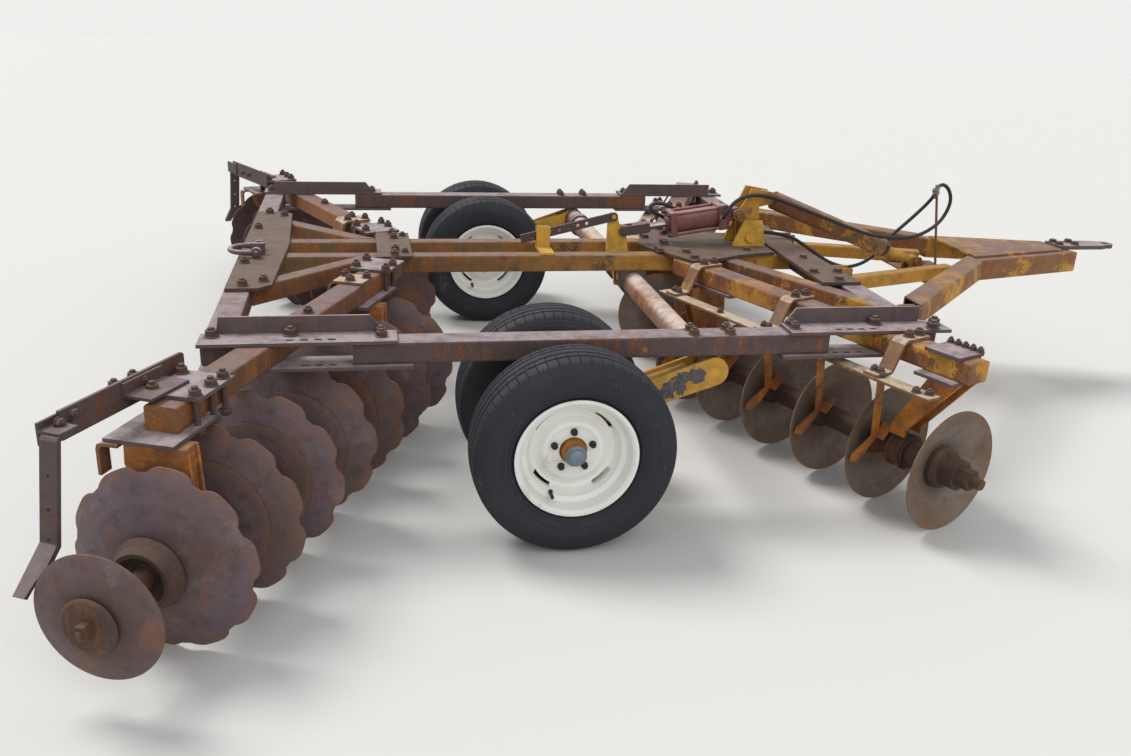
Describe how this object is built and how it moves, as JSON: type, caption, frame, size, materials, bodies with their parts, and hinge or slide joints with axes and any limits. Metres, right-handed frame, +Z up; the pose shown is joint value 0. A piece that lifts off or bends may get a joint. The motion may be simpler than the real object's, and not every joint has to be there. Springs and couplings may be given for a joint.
{
  "type": "disc harrow",
  "caption": "Drawn tandem disc harrow: plain front discs, notched rear discs in angled gangs, tube frame, twin lift wheels, hydraulic cylinder and self-levelling drawbar.",
  "frame": {"origin": "On the ground under the middle of the machine's length and width.", "axes": "+X is the way the machine is pulled, +Y is its left-hand side, +Z is up."},
  "size_m": [4.7278, 4.7868, 0.9922],
  "materials": {
    "worn_paint": "sun-faded ochre paint worn to brown rust",
    "rusty_steel": "bare steel under an even brown rust",
    "disc_steel": "rusted disc steel, brown with a mauve cast",
    "spool_iron": "rough cast iron with soil and rust",
    "tyre_rubber": "dusty black tread rubber",
    "rim_paint": "off-white enamel with rust at the edges",
    "cylinder_paint": "dark oxide paint with oil and dust",
    "rod_chrome": "dull chrome",
    "hose_rubber": "black hydraulic hose"
  },
  "bodies": {
    "frame": {"side_rails": "rusty_steel", "rail_end_plates": "rusty_steel", "cross_beams": "rusty_steel", "inner_rails": "worn_paint", "braces": "worn_paint", "deck_plates": "rusty_steel", "rear_clevis": "rusty_steel", "gang_beams": "worn_paint", "gang_clamps": "rusty_steel", "gang_bearings": "spool_iron", "gang_hangers": "worn_paint", "scraper_bars": "worn_paint", "scrapers": "worn_paint", "end_arms": "rusty_steel", "brackets": "worn_paint", "shaft_bearings": "rusty_steel", "pivot_lugs": "rusty_steel", "hose_long": "hose_rubber", "hose_short": "hose_rubber"},
    "lift": {"lift_shaft": "rusty_steel", "wheel_arms": "worn_paint", "lift_lever": "worn_paint", "wheel_spindles": "rusty_steel"},
    "wheels_right": {"tyre_right_outer": "tyre_rubber", "tyre_right_inner": "tyre_rubber", "rims_right": "rim_paint", "hubs_right": "worn_paint"},
    "wheels_left": {"tyre_left_outer": "tyre_rubber", "tyre_left_inner": "tyre_rubber", "rims_left": "rim_paint", "hubs_left": "worn_paint"},
    "rear_gang_right": {"rear_discs_right": "disc_steel", "rear_plain_discs_right": "disc_steel", "rear_spools_right": "spool_iron"},
    "rear_gang_left": {"rear_discs_left": "disc_steel", "rear_plain_discs_left": "disc_steel", "rear_spools_left": "spool_iron"},
    "front_gang_right": {"front_discs_right": "disc_steel", "front_spools_right": "spool_iron"},
    "front_gang_left": {"front_discs_left": "disc_steel", "front_spools_left": "spool_iron"},
    "mast": {"mast": "worn_paint"},
    "cylinder_barrel": {"cylinder_barrel": "cylinder_paint"},
    "cylinder_rod": {"cylinder_rod": "rod_chrome", "rod_clevis": "rusty_steel"},
    "stop_bar": {"stop_bar": "rusty_steel"},
    "drawbar": {"drawbar_legs": "worn_paint", "drawbar_inner_legs": "worn_paint", "drawbar_plates": "worn_paint", "hitch_tongue": "rusty_steel"},
    "levelling_rod": {"levelling_tube": "worn_paint", "levelling_screw": "worn_paint"}
  },
  "joints": [
    {"name": "lift_turn", "type": "hinge", "parent": "frame", "child": "lift", "pos_m": [-0.24915, 0, 0.538], "axis": [0, 1, 0], "range_deg": [-25, 14]},
    {"name": "mast_swing", "type": "hinge", "parent": "frame", "child": "mast", "pos_m": [0.34085, 0, 0.738], "axis": [0, 1, 0], "range_deg": [-4.26, 7.45]},
    {"name": "barrel_swing", "type": "hinge", "parent": "mast", "child": "cylinder_barrel", "pos_m": [0.27885, 0, 0.836], "axis": [0, 1, 0], "range_deg": [-8.5, 4.85]},
    {"name": "cylinder_stroke", "type": "slide", "parent": "cylinder_barrel", "child": "cylinder_rod", "axis": [-0.9885, 0, -0.1512], "range_m": [-0.0612, 0.1078]},
    {"name": "levelling_swing", "type": "hinge", "parent": "mast", "child": "levelling_rod", "pos_m": [0.41885, 0, 0.918], "axis": [0, 1, 0], "range_deg": [-2.77, 1.64]},
    {"name": "drawbar_hitch", "type": "hinge", "parent": "frame", "child": "drawbar", "pos_m": [0.67485, 0, 0.622], "axis": [0, 1, 0], "range_deg": [-4.54, 7.95]},
    {"name": "stop_bar_swing", "type": "hinge", "parent": "lift", "child": "stop_bar", "pos_m": [-0.32515, 0, 0.822], "axis": [0, 1, 0], "range_deg": [-17.32, 30.78]},
    {"name": "wheels_right_spin", "type": "hinge", "parent": "lift", "child": "wheels_right", "pos_m": [-0.80115, -1.315, 0.352], "axis": [0, 1, 0], "continuous": true},
    {"name": "wheels_left_spin", "type": "hinge", "parent": "lift", "child": "wheels_left", "pos_m": [-0.80115, 1.315, 0.352], "axis": [0, 1, 0], "continuous": true},
    {"name": "rear_gang_right_spin", "type": "hinge", "parent": "frame", "child": "rear_gang_right", "pos_m": [-2.06615, -2.1, 0.282], "axis": [-0.3778, -0.9259, 0], "continuous": true},
    {"name": "rear_gang_left_spin", "type": "hinge", "parent": "frame", "child": "rear_gang_left", "pos_m": [-2.06615, 2.1, 0.282], "axis": [-0.3778, 0.9259, 0], "continuous": true},
    {"name": "front_gang_right_spin", "type": "hinge", "parent": "frame", "child": "front_gang_right", "pos_m": [0.56385, -1.572, 0.23], "axis": [0.3778, -0.9259, 0], "continuous": true},
    {"name": "front_gang_left_spin", "type": "hinge", "parent": "frame", "child": "front_gang_left", "pos_m": [0.56385, 1.572, 0.23], "axis": [0.3778, 0.9259, 0], "continuous": true}
  ],
  "couplings": [
    {"joint": "mast_swing", "follows": "lift_turn", "ratio": -0.29},
    {"joint": "barrel_swing", "follows": "lift_turn", "ratio": 0.332},
    {"joint": "cylinder_stroke", "follows": "lift_turn", "m_per_rad": -0.2424},
    {"joint": "levelling_swing", "follows": "lift_turn", "ratio": 0.103},
    {"joint": "drawbar_hitch", "follows": "lift_turn", "ratio": -0.31},
    {"joint": "stop_bar_swing", "follows": "lift_turn", "ratio": -1.223}
  ]
}
